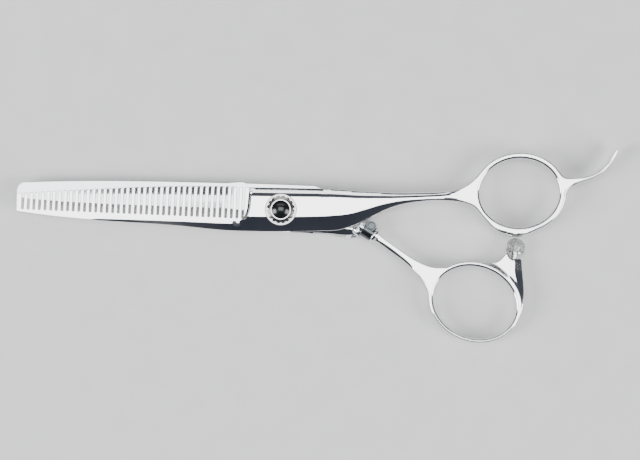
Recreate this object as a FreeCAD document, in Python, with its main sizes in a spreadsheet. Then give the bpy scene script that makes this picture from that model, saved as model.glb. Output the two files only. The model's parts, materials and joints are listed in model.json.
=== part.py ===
import FreeCAD, Part
import math
import os
import Sketcher

# Thinning shears, closed and lying on their rest face.  Origin on the pivot axis at that face.
# +X runs towards the finger rings, +Z is the side that carries the tension dial.
# Every piece is drawn about the plane where the two halves meet and lifted onto the rest face last.

V = FreeCAD.Vector
doc = FreeCAD.newDocument("thinning_shears")

SIZES = {
    # front half: toothed blade, shank and finger ring
    "half_gap": 0.02,
    "plate_thickness": 3.0,
    "tooth_root_thickness": 2.2,
    "tooth_tip_thickness": 1.3,
    "blade_tip_x": -73.8,
    "shoulder_x": -7.9,
    "tooth_count": 40,
    "slot_pitch": 1.576,
    "slot_width": 0.66,
    "first_slot_x": -72.1,
    "first_slot_y": 0.14,
    "slot_lean": 3.0,
    "slot_fall": 2.46,
    "slot_depth": 9.8,
    "notch_depth": 0.22,
    "shoulder_end_x": -12.2,
    "ring_height": 4.6,
    "ring_round": 0.8,
    "ring_inner_round": 0.45,
    "finger_ring_x": 66.5,
    "finger_ring_y": 4.6,
    "finger_ring_long": 13.05,
    "finger_ring_short": 11.3,
    "finger_hole_long": 11.2,
    "finger_hole_short": 9.6,
    "finger_ring_turn": 2.7,
    "finger_rest_height": 4.2,
    # rear half: plain blade and tang
    "plain_root_thickness": 2.6,
    "plain_tip_thickness": 1.3,
    # pivot
    "bolt_radius": 2.0,
    "bolt_square": 4.0,
    "bolt_head_radius": 4.0,
    "bolt_head_face": -3.6,
    "bolt_head_sink": 0.5,
    "bolt_top": 4.05,
    "thread_radius": 1.7,
    "flat_half_width": 1.45,
    "running_gap": 0.03,
    "bush_wall": 0.75,
    "washer_radius": 4.0,
    "washer_thickness": 0.3,
    "seat_radius": 4.45,
    "seat_floor_z": 2.3,
    "seat_floor_thickness": 0.3,
    "seat_wall_top": 3.35,
    "dial_radius": 3.9,
    "dial_base_z": 3.22,
    "dial_shoulder_z": 4.0,
    "dial_top_z": 4.55,
    "dial_notches": 16,
    "bezel_radius": 2.88,
    "cap_radius": 2.55,
    "cap_seat_z": 4.4,
    "cap_top_z": 5.7,
    # swivel joint
    "swivel_x": 26.2,
    "swivel_y": -7.2,
    "swivel_z": -1.1,
    "swivel_turn": -32.8,
    "disc_radius": 2.15,
    "disc_thickness": 1.1,
    "barrel_radius": 2.15,
    "barrel_length": 3.0,
    "barrel_front": -0.83,
    "swivel_bush_radius": 1.8,
    "swivel_bush_depth": 0.57,
    "spindle_radius": 1.45,
    "groove_radius": 1.1,
    "groove_width": 1.04,
    "keeper_offset": 1.72,
    "keeper_radius": 0.5,
    "keeper_along": -2.25,
    "boss_radius": 1.4,
    # thumb handle
    "thumb_ring_x": 54.1,
    "thumb_ring_y": -25.95,
    "thumb_ring_long": 13.15,
    "thumb_ring_short": 11.2,
    "thumb_hole_long": 11.8,
    "thumb_hole_short": 9.8,
    "thumb_ring_turn": -21.5,
    # bumper
    "bumper_x": 65.4,
    "bumper_y": -12.14,
    "bumper_turn": -8.4,
    "bumper_radius": 2.5,
    "bumper_length": 4.2,
    "bumper_screw_radius": 0.8,
}

sheet = doc.addObject("Spreadsheet::Sheet", "sizes")
for row, (word, number) in enumerate(SIZES.items(), start=1):
    sheet.set("A%d" % row, word)
    sheet.set("B%d" % row, str(number))
    sheet.setAlias("B%d" % row, word)
doc.recompute()


def size(word):
    return float(sheet.get(word))


# ---------------------------------------------------------------- drawing helpers

def new_body(label):
    body = doc.addObject("PartDesign::Body", label)
    body.Label = label
    return body


def base_plane(body, role):
    return next(f for f in body.Origin.OriginFeatures if f.Role == role)


def new_sketch(body, name, role="XY_Plane", centre=None, across=None, up=None):
    """Sketch on one of the body's own planes, or (centre given) shifted off its XY plane with its
    first axis along `across` and its second along `up`."""
    sketch = body.newObject("Sketcher::SketchObject", name)
    sketch.AttachmentSupport = (base_plane(body, role), [""])
    sketch.MapMode = "FlatFace"
    if centre is not None:
        turn = FreeCAD.Rotation(V(*across), V(*up), V(*across).cross(V(*up)), "XYZ")
        sketch.AttachmentOffset = FreeCAD.Placement(V(*centre), turn)
    return sketch


def draw_loop(sketch, pieces):
    """Closed outline; each piece is ("line", points) or ("curve", points), end to end."""
    first = sketch.GeometryCount
    for kind, points in pieces:
        points = [V(p[0], p[1], 0) for p in points]
        if kind == "curve":
            spline = Part.BSplineCurve()
            spline.interpolate(points)
            sketch.addGeometry(spline)
        else:
            for start, end in zip(points, points[1:]):
                sketch.addGeometry(Part.LineSegment(start, end))
    last = sketch.GeometryCount - 1
    for index in range(first, last):
        sketch.addConstraint(Sketcher.Constraint("Coincident", index, 2, index + 1, 1))
    sketch.addConstraint(Sketcher.Constraint("Coincident", last, 2, first, 1))


def draw_polygon(sketch, points):
    draw_loop(sketch, [("line", list(points) + [points[0]])])


def draw_circle(sketch, x, y, word, extra=0.0):
    """Circle whose radius follows the sheet."""
    circle = sketch.addGeometry(Part.Circle(V(x, y, 0), V(0, 0, 1), size(word) + extra))
    rule = sketch.addConstraint(Sketcher.Constraint("Radius", circle, size(word) + extra))
    sketch.setExpression("Constraints[%d]" % rule, "sizes.%s + %g" % (word, extra))


def draw_ellipse(sketch, x, y, long_half, short_half, turn):
    direction = V(math.cos(math.radians(turn)), math.sin(math.radians(turn)), 0)
    side = V(-direction.y, direction.x, 0)
    centre = V(x, y, 0)
    sketch.addGeometry(Part.Ellipse(centre + direction * long_half, centre + side * short_half, centre))


def pad(body, name, sketch, length, rule=None, offset=0.0, midplane=False):
    feature = body.newObject("PartDesign::Pad", name)
    feature.Profile = sketch
    feature.Length = length
    if rule:
        feature.setExpression("Length", rule)
    feature.Midplane = midplane
    if offset:
        sketch.AttachmentOffset = FreeCAD.Placement(V(0, 0, offset), FreeCAD.Rotation())
    return feature


def pocket(body, name, sketch, length, rule=None, offset=0.0, through=False, upward=False):
    """Cut downwards from z = offset, or upwards when asked."""
    feature = body.newObject("PartDesign::Pocket", name)
    feature.Profile = sketch
    if offset:
        sketch.AttachmentOffset = FreeCAD.Placement(V(0, 0, offset), FreeCAD.Rotation())
    if through:
        feature.Type = "ThroughAll"
        feature.Midplane = True
    else:
        feature.Length = length
        if rule:
            feature.setExpression("Length", rule)
        feature.Reversed = upward
    return feature


def revolve(body, name, profile, cut=False):
    """Turn a half section, given as (radius, height) points, about the body's Z axis."""
    sketch = new_sketch(body, name + "_section", "XZ_Plane")
    draw_polygon(sketch, profile)
    kind = "PartDesign::Groove" if cut else "PartDesign::Revolution"
    feature = body.newObject(kind, name)
    feature.Profile = sketch
    feature.ReferenceAxis = (sketch, ["V_Axis"])
    feature.Angle = 360
    return feature


def domed_turning(body, profile, top):
    """Turned part whose half section ends in a round dome that reaches the axis at `top`."""
    radius, spring_line = profile[-1]
    rise = top - spring_line
    sphere = (radius ** 2 + rise ** 2) / (2 * rise)
    half_angle = math.asin(radius / sphere) / 2
    middle = (sphere * math.sin(half_angle), top - sphere * (1 - math.cos(half_angle)))
    section = new_sketch(body, "section", "XZ_Plane")
    points = [V(r, z, 0) for r, z in profile]
    for start, end in zip(points, points[1:]):
        section.addGeometry(Part.LineSegment(start, end))
    section.addGeometry(Part.Arc(points[-1], V(*middle, 0), V(0, top, 0)))
    section.addGeometry(Part.LineSegment(V(0, top, 0), points[0]))
    dome = body.newObject("PartDesign::Revolution", "dome")
    dome.Profile = section
    dome.ReferenceAxis = (section, ["V_Axis"])
    dome.Angle = 360
    return dome


def loft(body, name, sections, cut=False, ruled=False):
    kind = "PartDesign::SubtractiveLoft" if cut else "PartDesign::AdditiveLoft"
    feature = body.newObject(kind, name)
    feature.Profile = sections[0]
    feature.Sections = sections[1:]
    feature.Ruled = ruled
    return feature


def round_edges(body, name, base, radius, wanted):
    """Fillet every edge of the feature that the test accepts."""
    doc.recompute()
    names = []
    for index, edge in enumerate(base.Shape.Edges, start=1):
        if wanted(edge):
            names.append("Edge%d" % index)
    feature = body.newObject("PartDesign::Fillet", name)
    feature.Base = (base, names)
    feature.Radius = radius
    return feature


def along_swivel(s, n=0.0, z=0.0):
    """Point a distance s along the swivel axis and n to its upper side."""
    turn = math.radians(size("swivel_turn"))
    x = size("swivel_x") + s * math.cos(turn) - n * math.sin(turn)
    y = size("swivel_y") + s * math.sin(turn) + n * math.cos(turn)
    return (x, y, size("swivel_z") + z)


def swivel_axes():
    turn = math.radians(size("swivel_turn"))
    return (math.cos(turn), math.sin(turn), 0), (-math.sin(turn), math.cos(turn), 0)


def swivel_placement():
    """Stands a body's Z axis along the swivel axis, its X axis pointing to +Z."""
    along, side = swivel_axes()
    turn = FreeCAD.Rotation(V(0, 0, 1), V(*side) * -1, V(*along), "XYZ")
    return FreeCAD.Placement(V(*along_swivel(0)), turn)


# ---------------------------------------------------------------- front half

def tooth_tip_y(x):
    """Height of the line through the tooth tips."""
    return 6.45 - 1.75 * ((x + 22.0) / 50.0) ** 2


def facet_section(body, name, centre, across, low, high, floor, top, facet, edge):
    """Cross section of plate or shank: a wide facet along the upper edge, small ones elsewhere."""
    drop = 0.38 * facet
    sketch = new_sketch(body, name, centre=centre, across=across, up=(0, 0, 1))
    draw_polygon(sketch, [
        (low + edge, floor),
        (high - edge, floor),
        (high, floor + edge),
        (high, top - drop),
        (high - facet, top),
        (low + 1.6 * edge, top),
        (low, top - edge),
        (low, floor + edge),
    ])
    return sketch


def ring(body, name, x, y, long_half, short_half, turn, height_word="ring_height"):
    sketch = new_sketch(body, name + "_outline")
    draw_ellipse(sketch, x, y, long_half, short_half, turn)
    feature = pad(body, name, sketch, size(height_word), "sizes." + height_word, midplane=True)
    return round_edges(body, name + "_rounding", feature, size("ring_round"),
                       lambda edge: edge.BoundBox.ZLength < 0.01)


def finger_hole(body, name, x, y, long_half, short_half, turn):
    sketch = new_sketch(body, name + "_outline")
    draw_ellipse(sketch, x, y, long_half, short_half, turn)
    feature = pocket(body, name, sketch, 0, through=True)

    def on_rim(edge):
        box = edge.BoundBox
        centre = box.Center
        near = abs(centre.x - x) < 0.5 and abs(centre.y - y) < 0.5
        return near and box.ZLength < 0.01 and box.XLength < 2 * long_half + 0.5
    round_edges(body, name + "_rounding", feature, size("ring_inner_round"), on_rim)


# x, lower edge, upper edge, under face, top face, upper facet, small facets
PLATE_STATIONS = [
    (-12.6, -5.98, 6.24, 0.02, 3.0, 2.3, 0.10),
    (-7.9, -6.08, 6.19, 0.02, 3.0, 2.3, 0.10),
    (10.0, -6.00, 5.86, 0.02, 3.0, 2.2, 0.12),
]
SHANK_STATIONS = [
    (10.0, -6.00, 5.86, 0.02, 3.0, 2.2, 0.12),
    (13.5, -5.95, 5.74, 0.02, 3.0, 2.05, 0.15),
    (17.0, -5.60, 5.58, 0.02, 3.0, 1.9, 0.20),
    (21.5, -4.15, 5.33, 0.02, 3.0, 1.7, 0.30),
    (26.0, -1.85, 5.07, -0.15, 3.0, 1.45, 0.40),
    (32.6, 1.00, 4.72, -0.45, 2.9, 1.2, 0.60),
    (38.0, 1.98, 4.78, -0.75, 2.75, 1.0, 0.70),
    (45.0, 2.40, 5.05, -1.20, 2.45, 1.0, 0.75),
    (50.0, 2.00, 6.00, -1.70, 2.20, 1.1, 0.90),
    (53.0, 1.20, 7.80, -1.95, 2.05, 1.2, 1.00),
    (55.6, -0.50, 10.1, -2.05, 2.05, 1.2, 1.00),
]

# x, y on the middle line of the finger rest, its thickness and its height
FINGER_REST = [
    (79.0, 6.6, 3.6, 1.0),
    (81.6, 7.9, 2.2, 1.0),
    (84.4, 8.45, 1.15, 1.0),
    (87.6, 9.45, 0.98, 0.98),
    (90.3, 11.5, 0.95, 0.92),
    (92.5, 14.3, 0.92, 0.82),
    (94.2, 17.5, 0.55, 0.55),
]


def tooth_section(body):
    """Flat blade in front of the shoulder, before the slots are cut."""
    tip = size("blade_tip_x")
    end = 0.0
    spine = [(tip + 0.5, -0.5), (-66.4, -1.48), (-44.9, -3.43), (-27.1, -4.69), (-15.0, -5.85),
             (-7.0, -6.05), (end, -6.02)]
    tips = [(end, 5.9), (-7.0, 6.05), (-22.0, tooth_tip_y(-22.0)), (-44.0, tooth_tip_y(-44.0)),
            (tip, tooth_tip_y(tip))]
    outline = new_sketch(body, "blade_outline")
    draw_loop(outline, [
        ("curve", spine),
        ("line", [(end, -6.02), (end, 5.9)]),
        ("curve", tips),
        ("line", [(tip, tooth_tip_y(tip)), (tip, 0.2)]),
        ("curve", [(tip, 0.2), (tip + 0.12, -0.25), (tip + 0.5, -0.5)]),
    ])
    pad(body, "blade_stock", outline, size("tooth_root_thickness") - size("half_gap"),
        "sizes.tooth_root_thickness - sizes.half_gap", offset=size("half_gap"))


def toothed_blade():
    body = new_body("toothed_blade")
    x = size("finger_ring_x")
    y = size("finger_ring_y")
    turn = size("finger_ring_turn")
    offset = 0.1
    ring(body, "finger_ring", x + offset, y + offset, size("finger_ring_long"),
         size("finger_ring_short"), turn)

    landing = new_sketch(body, "landing_outline")
    draw_loop(landing, [
        ("curve", [(56.9, -2.3), (58.0, -4.1), (59.4, -5.66), (61.6, -6.95), (65.0, -7.85)]),
        ("curve", [(65.0, -7.85), (68.4, -7.2), (71.5, -5.4)]),
        ("line", [(71.5, -5.4), (70.0, -4.0), (58.5, -1.5), (56.9, -2.3)]),
    ])
    landing_height = 3.2
    pad(body, "landing", landing, landing_height, midplane=True)

    for name, table in (("plate", PLATE_STATIONS), ("shank", SHANK_STATIONS)):
        stations = []
        for index, (sx, low, high, floor, top, facet, edge) in enumerate(table):
            stations.append(facet_section(body, "%s_section_%d" % (name, index), (sx, 0, 0), (0, 1, 0),
                                          low, high, floor, top, facet, edge))
        loft(body, name, stations)

    rests = []
    for index, (rx, ry, thickness, height) in enumerate(FINGER_REST):
        before = FINGER_REST[max(index - 1, 0)]
        after = FINGER_REST[min(index + 1, len(FINGER_REST) - 1)]
        way = V(after[0] - before[0], after[1] - before[1], 0).normalize()
        side = V(-way.y, way.x, 0)
        sketch = new_sketch(body, "rest_section_%d" % index, centre=(rx, ry, 0),
                            across=tuple(side), up=(0, 0, 1))
        half = height * size("finger_rest_height") / 2
        sketch.addGeometry(Part.Ellipse(V(0, half, 0), V(-thickness / 2, 0, 0), V(0, 0, 0)))
        rests.append(sketch)
    loft(body, "finger_rest", rests)

    tooth_section(body)

    # the toothed part thins towards its tip
    tip = size("blade_tip_x")
    taper = new_sketch(body, "taper_profile", "XZ_Plane")
    heel = size("shoulder_end_x")
    clear = size("plate_thickness") + 3
    draw_polygon(taper, [(tip - 2, size("tooth_tip_thickness")), (tip - 2, clear), (heel, clear),
                         (heel, size("tooth_root_thickness"))])
    pocket(body, "taper", taper, 0, through=True)

    # bevel along the spine, wider and deeper towards the heel; its upper edge stays clear of the slots
    bevels = []
    tip_top = size("tooth_tip_thickness")
    heel_top = size("tooth_root_thickness")
    below = 2.0
    for index, (bx, spine_y, width, depth, top) in enumerate([
            (tip - 1, -2.1, 0.35, 0.25, tip_top),
            (size("shoulder_end_x"), -6.0, 2.1, 0.9, heel_top)]):
        sketch = new_sketch(body, "spine_bevel_%d" % index, centre=(bx, 0, 0),
                            across=(0, 1, 0), up=(0, 0, 1))
        lift = top + 0.02
        draw_polygon(sketch, [(spine_y + width, lift), (spine_y - below, lift),
                              (spine_y - below, top - depth * (width + below) / width)])
        bevels.append(sketch)
    loft(body, "spine_bevel", bevels, cut=True)

    # shoulder ground back in a curve in front of the pivot
    shoulder = new_sketch(body, "shoulder_outline")
    crown = (size("shoulder_x"), 6.6)
    foot = (heel + 0.5, -4.0)
    draw_loop(shoulder, [
        ("curve", [crown, (-8.1, 3.0), (-8.9, -1.2), (-9.6, -2.4), foot]),
        ("line", [foot, (heel, -6.6), (heel - 2, -6.6), (heel - 2, 6.6), crown]),
    ])
    pocket(body, "shoulder", shoulder, 2.0, offset=size("tooth_root_thickness"), upward=True)

    # slots between the teeth
    lean = math.radians(size("slot_lean"))
    half = size("slot_width") / 2
    depth = size("slot_depth")
    sx = size("first_slot_x")
    sy = size("first_slot_y") + half
    rise = V(math.sin(lean), math.cos(lean), 0)
    side = V(math.cos(lean), -math.sin(lean), 0)
    low = V(sx, sy, 0)
    slot = new_sketch(body, "slot_outline")
    slot.addGeometry(Part.LineSegment(low - side * half + rise * depth, low - side * half))
    slot.addGeometry(Part.Arc(low - side * half, low - rise * half, low + side * half))
    slot.addGeometry(Part.LineSegment(low + side * half, low + side * half + rise * depth))
    slot.addGeometry(Part.LineSegment(low + side * half + rise * depth, low - side * half + rise * depth))
    fall = math.radians(-size("slot_fall"))
    slot.addGeometry(Part.LineSegment(low, low + V(math.cos(fall), math.sin(fall), 0)), True)
    slot_cut = pocket(body, "slot", slot, 0, through=True)
    doc.recompute()
    row = body.newObject("PartDesign::LinearPattern", "slots")
    row.Originals = [slot_cut]
    row.Direction = (slot, ["Axis0"])
    row.Occurrences = int(size("tooth_count"))
    row.Length = size("slot_pitch") * (size("tooth_count") - 1)
    row.setExpression("Length", "sizes.slot_pitch * (sizes.tooth_count - 1)")
    body.Tip = row
    doc.recompute()

    # small catch notch in every tooth tip
    notches = new_sketch(body, "notch_outlines")
    tooth_length = 6.0
    for index in range(int(size("tooth_count")) - 1):
        nx = sx + (index + 0.5) * size("slot_pitch") * math.cos(fall) + tooth_length * math.tan(lean)
        ny = tooth_tip_y(nx)
        mouth = size("notch_depth")
        draw_polygon(notches, [(nx - mouth, ny + 0.1), (nx, ny - mouth), (nx + mouth, ny + 0.1)])
    pocket(body, "notches", notches, 0, through=True)

    finger_hole(body, "finger_hole", x, y, size("finger_hole_long"), size("finger_hole_short"), turn)

    bore = new_sketch(body, "pivot_bore")
    draw_circle(bore, 0, 0, "bolt_radius", size("running_gap") + size("bush_wall"))
    pocket(body, "pivot_hole", bore, 0, through=True)
    seat = new_sketch(body, "seat_circle")
    draw_circle(seat, 0, 0, "seat_radius")
    pocket(body, "seat_recess", seat, 3.0, offset=size("seat_floor_z"), upward=True)
    return body


def pivot_bush():
    body = new_body("pivot_bush")
    inner = size("bolt_radius") + size("running_gap")
    outer = inner + size("bush_wall")
    floor = 2 * size("running_gap")
    top = size("seat_floor_z") - size("running_gap")
    revolve(body, "bush", [(inner, floor), (outer, floor), (outer, top), (inner, top)])
    return body


def seat_ring():
    """Bright ring let into the plate round the dial."""
    body = new_body("seat_ring")
    inner = size("bolt_radius") + 0.08
    outer = size("seat_radius")
    wall = size("dial_radius") + 0.07
    floor = size("seat_floor_z")
    step = floor + size("seat_floor_thickness")
    top = size("seat_wall_top")
    revolve(body, "seat", [(inner, floor), (outer, floor), (outer, top - 0.22), (outer - 0.22, top),
                           (wall + 0.05, top), (wall, top - 0.05), (wall, step), (inner, step)])
    return body


def disc_spring():
    """Shallow cone that keeps the dial under load."""
    body = new_body("disc_spring")
    low = size("seat_floor_z") + size("seat_floor_thickness")
    thick = 0.17
    rise = 0.18
    inner = size("bolt_radius") + 0.2
    outer = size("dial_radius") - 0.2
    revolve(body, "spring", [(outer, low), (outer, low + thick), (inner, low + rise + thick),
                             (inner, low + rise)])
    return body


# ---------------------------------------------------------------- rear half

# x, lower edge, upper edge, under face, top face, small facets
TANG_STATIONS = [
    (8.0, -6.60, 6.55, -3.0, -0.04, 0.14),
    (11.0, -6.78, 5.90, -3.0, -0.06, 0.20),
    (13.5, -7.02, 3.30, -3.0, -0.10, 0.25),
    (15.6, -7.40, -0.60, -2.95, -0.15, 0.35),
    (17.6, -7.85, -3.60, -2.85, -0.22, 0.50),
    (19.6, -7.95, -4.75, -2.70, -0.30, 0.60),
    (21.2, -7.55, -5.00, -2.55, -0.40, 0.60),
]


def barrel_rear():
    """Where the swivel barrel starts, measured along the swivel axis from the disc's middle."""
    return size("barrel_front") - size("barrel_length")


def plain_blade():
    body = new_body("plain_blade")
    thick = size("plate_thickness")
    gap = size("half_gap")
    outline = new_sketch(body, "blade_outline")
    draw_loop(outline, [
        ("curve", [(-73.9, 4.38), (-73.75, 5.8), (-73.2, 6.95), (-72.0, 7.64)]),
        ("curve", [(-72.0, 7.64), (-50.5, 8.04), (-28.2, 7.73), (-7.5, 7.17), (9.0, 6.53)]),
        ("line", [(9.0, 6.53), (9.0, -6.63)]),
        ("curve", [(9.0, -6.63), (4.2, -6.36), (-0.3, -6.08), (-4.0, -5.2), (-6.5, -3.0), (-8.5, 0.1)]),
        ("curve", [(-8.5, 0.1), (-18.7, 0.56), (-38.8, 1.28), (-62.5, 2.46), (-71.8, 3.26)]),
        ("line", [(-71.8, 3.26), (-73.9, 4.38)]),
    ])
    pad(body, "blade_stock", outline, thick - gap, "sizes.plate_thickness - sizes.half_gap",
        offset=-thick)

    # outer face thins from the pivot plate to the tip
    taper = new_sketch(body, "taper_profile", "XZ_Plane")
    draw_polygon(taper, [(-76, -size("plain_tip_thickness")), (-14, -size("plain_root_thickness")),
                         (-9, -thick), (-9, -thick - 1), (-76, -thick - 1)])
    pocket(body, "taper", taper, 0, through=True)

    # outer face ground down to the cutting edge
    bevels = []
    for index, (bx, edge_y, width) in enumerate([(-76.0, 3.35, 3.0), (-40.0, 1.2, 3.6), (-9.0, 0.1, 3.8)]):
        sketch = new_sketch(body, "edge_bevel_%d" % index, centre=(bx, 0, 0),
                            across=(0, 1, 0), up=(0, 0, 1))
        draw_polygon(sketch, [(edge_y - 0.6, -0.35), (edge_y + width, -thick - 0.1),
                              (edge_y - 0.6, -thick - 0.1)])
        bevels.append(sketch)
    loft(body, "edge_bevel", bevels, cut=True)

    stations = []
    for index, (sx, low, high, floor, top, edge) in enumerate(TANG_STATIONS):
        stations.append(facet_section(body, "tang_section_%d" % index, (sx, 0, 0), (0, 1, 0),
                                      low, high, floor, top, edge, edge))
    loft(body, "tang", stations)

    # knuckle and the short spigot that carries the swivel barrel
    z = size("swivel_z")
    rear = barrel_rear()
    beside = -1.45
    bulge = [(2.7, 0), (2.45, 0.85), (1.9, 1.45), (0.9, 1.75), (0, 1.6)]
    round_end = [along_swivel(rear - back, beside + reach)[:2] for back, reach in bulge]
    knuckle = new_sketch(body, "knuckle_section")
    knuckle.AttachmentOffset = FreeCAD.Placement(V(0, 0, z), FreeCAD.Rotation())
    draw_loop(knuckle, [
        ("curve", round_end),
        ("line", [round_end[-1], along_swivel(rear, beside)[:2], round_end[0]]),
    ])
    knuckle.addGeometry(Part.LineSegment(V(*round_end[0], 0), V(*along_swivel(rear, beside)[:2], 0)), True)
    ball = body.newObject("PartDesign::Revolution", "knuckle")
    ball.Profile = knuckle
    ball.ReferenceAxis = (knuckle, ["Axis0"])
    ball.Angle = 360

    bore = size("spindle_radius") + 0.05
    neck = 1.65
    stub = 0.4
    spin_about_swivel(body, "spigot", [(rear - 1.2, 0), (rear - 1.2, neck), (rear, neck), (rear, bore - 0.01),
                                       (rear + stub, bore - 0.01), (rear + stub, 0)], z)

    # square hole for the bolt, its head recess underneath and the washer recess on top
    half = size("bolt_square") / 2 + 0.02
    square = new_sketch(body, "bolt_square_outline")
    draw_polygon(square, [(-half, -half), (half, -half), (half, half), (-half, half)])
    pocket(body, "bolt_square_hole", square, 0, through=True)
    head = new_sketch(body, "bolt_head_circle")
    draw_circle(head, 0, 0, "bolt_head_radius", 0.03)
    pocket(body, "bolt_head_recess", head, 3.0, offset=-thick + size("bolt_head_sink"))
    recess = new_sketch(body, "washer_circle")
    draw_circle(recess, 0, 0, "washer_radius", 0.03)
    pocket(body, "washer_recess", recess, 3.0, offset=-gap - size("washer_thickness"), upward=True)
    return body


def spin_about_swivel(body, name, profile, z, cut=False):
    """Turn a half section, given as (distance along, radius), about the swivel axis."""
    sketch = new_sketch(body, name + "_section")
    if z:
        sketch.AttachmentOffset = FreeCAD.Placement(V(0, 0, z), FreeCAD.Rotation())
    draw_polygon(sketch, [along_swivel(s, n)[:2] for s, n in profile])
    start = V(*along_swivel(profile[0][0])[:2], 0)
    end = V(*along_swivel(profile[-1][0])[:2], 0)
    sketch.addGeometry(Part.LineSegment(start, end), True)
    kind = "PartDesign::Groove" if cut else "PartDesign::Revolution"
    feature = body.newObject(kind, name)
    feature.Profile = sketch
    feature.ReferenceAxis = (sketch, ["Axis0"])
    feature.Angle = 360
    return feature


def thrust_washer():
    body = new_body("thrust_washer")
    top = 0.0
    low = -size("half_gap") - size("washer_thickness")
    inner = size("bolt_radius") + 0.12
    revolve(body, "washer", [(inner, low), (size("washer_radius"), low), (size("washer_radius"), top),
                             (inner, top)])
    return body


def pivot_bolt():
    body = new_body("pivot_bolt")
    face = size("bolt_head_face")
    seat = -size("plate_thickness") + size("bolt_head_sink")
    shoulder = -size("half_gap") - size("washer_thickness") - 0.02
    neck = size("seat_floor_z") + 0.05
    head = size("bolt_head_radius")
    revolve(body, "stem", [(0, face), (head - 0.3, face), (head, face + 0.3), (head, seat),
                           (size("bolt_radius"), seat), (size("bolt_radius"), neck),
                           (size("thread_radius"), neck + 0.1),
                           (size("thread_radius"), size("bolt_top") - 0.15),
                           (size("thread_radius") - 0.15, size("bolt_top")), (0, size("bolt_top"))])
    half = size("bolt_square") / 2
    square = new_sketch(body, "square_outline")
    draw_polygon(square, [(-half, -half), (half, -half), (half, half), (-half, half)])
    pad(body, "square", square, shoulder - seat, offset=seat)
    flats = new_sketch(body, "flat_outlines")
    near = size("flat_half_width")
    for way in (-1, 1):
        draw_polygon(flats, [(way * near, -3), (way * 3, -3), (way * 3, 3), (way * near, 3)])
    pocket(body, "flats", flats, 3.0, offset=size("seat_floor_z") + 0.45, upward=True)
    tapped = new_sketch(body, "tapped_circle")
    draw_circle(tapped, 0, 0, "keeper_radius", 0.32)
    pocket(body, "tapped_hole", tapped, 1.9, offset=size("bolt_top"))
    return body


def keyed_washer():
    """Sits on the bolt's flats so that the turning blades can't unscrew the dial."""
    body = new_body("keyed_washer")
    outline = new_sketch(body, "outline")
    draw_circle(outline, 0, 0, "dial_radius", -0.25)
    low = size("dial_base_z") - 0.22
    pad(body, "disc", outline, 0.19, offset=low)
    hole = new_sketch(body, "keyed_hole")
    flat = size("flat_half_width") + 0.03
    radius = size("thread_radius") + 0.03
    reach = math.sqrt(radius ** 2 - flat ** 2)
    hole.addGeometry(Part.Arc(V(flat, reach, 0), V(0, radius, 0), V(-flat, reach, 0)))
    hole.addGeometry(Part.LineSegment(V(-flat, reach, 0), V(-flat, -reach, 0)))
    hole.addGeometry(Part.Arc(V(-flat, -reach, 0), V(0, -radius, 0), V(flat, -reach, 0)))
    hole.addGeometry(Part.LineSegment(V(flat, -reach, 0), V(flat, reach, 0)))
    pocket(body, "keyed_cut", hole, 0, through=True)
    return body


def screwdriver_slot(body, half_width, floor):
    """Straight slot across a screw's head, open upwards from `floor`."""
    reach = 3.0
    slot = new_sketch(body, "slot_outline")
    draw_polygon(slot, [(-reach, -half_width), (reach, -half_width), (reach, half_width),
                        (-reach, half_width)])
    pocket(body, "slot", slot, 1.0, offset=floor, upward=True)


def lock_screw():
    body = new_body("lock_screw")
    under = size("bolt_top") + 0.01
    top = under + 0.28
    shaft = size("keeper_radius") + 0.3
    revolve(body, "screw", [(0, under - 1.8), (shaft, under - 1.8), (shaft, under), (2.2, under),
                            (2.2, top - 0.08), (2.12, top), (0, top)])
    screwdriver_slot(body, half_width=0.2, floor=top - 0.16)
    return body


# ---------------------------------------------------------------- dial

def tension_dial():
    body = new_body("tension_dial")
    rim = size("dial_radius")
    base = size("dial_base_z")
    shoulder = size("dial_shoulder_z")
    top = size("dial_top_z")
    bore = size("thread_radius") + size("running_gap")
    well = size("bezel_radius")
    revolve(body, "dial", [
        (bore, base), (rim, base), (rim, shoulder - 0.15), (rim - 0.15, shoulder),
        (rim - 0.42, shoulder), (rim - 0.42, shoulder + 0.12), (rim - 0.68, shoulder + 0.3),
        (rim - 0.68, shoulder + 0.42), (well + 0.1, top), (well, top), (well, shoulder),
        (bore, shoulder)])
    notch = new_sketch(body, "notch_circle")
    notch.addGeometry(Part.Circle(V(rim, 0, 0), V(0, 0, 1), 0.27))
    cut = pocket(body, "notch", notch, 0, through=True)
    doc.recompute()
    rim_notches = body.newObject("PartDesign::PolarPattern", "rim_notches")
    rim_notches.Originals = [cut]
    rim_notches.Axis = (base_plane(body, "Z_Axis"), [""])
    rim_notches.Angle = 360
    rim_notches.Occurrences = int(size("dial_notches"))
    body.Tip = rim_notches
    return body


def cap_bezel():
    body = new_body("cap_bezel")
    outer = size("bezel_radius")
    low = size("dial_shoulder_z")
    lip = size("cap_seat_z")
    inner = size("cap_radius") + 0.01
    top = size("dial_top_z") + 0.35
    revolve(body, "bezel", [(2.3, low), (outer, low), (outer, top - 0.1), (outer - 0.1, top),
                            (inner, top), (inner, lip), (2.3, lip)])
    return body


def dial_cap():
    """Domed insert in the middle of the dial."""
    body = new_body("dial_cap")
    radius = size("cap_radius")
    low = size("cap_seat_z")
    spring_line = low + 0.35
    top = size("cap_top_z")
    domed_turning(body, [(0, low), (radius, low), (radius, spring_line)], top)
    return body


# ---------------------------------------------------------------- swivel joint

KEEPER_HEAD_RADIUS = 1.05
KEEPER_HEAD_SEAT = 1.52


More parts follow.
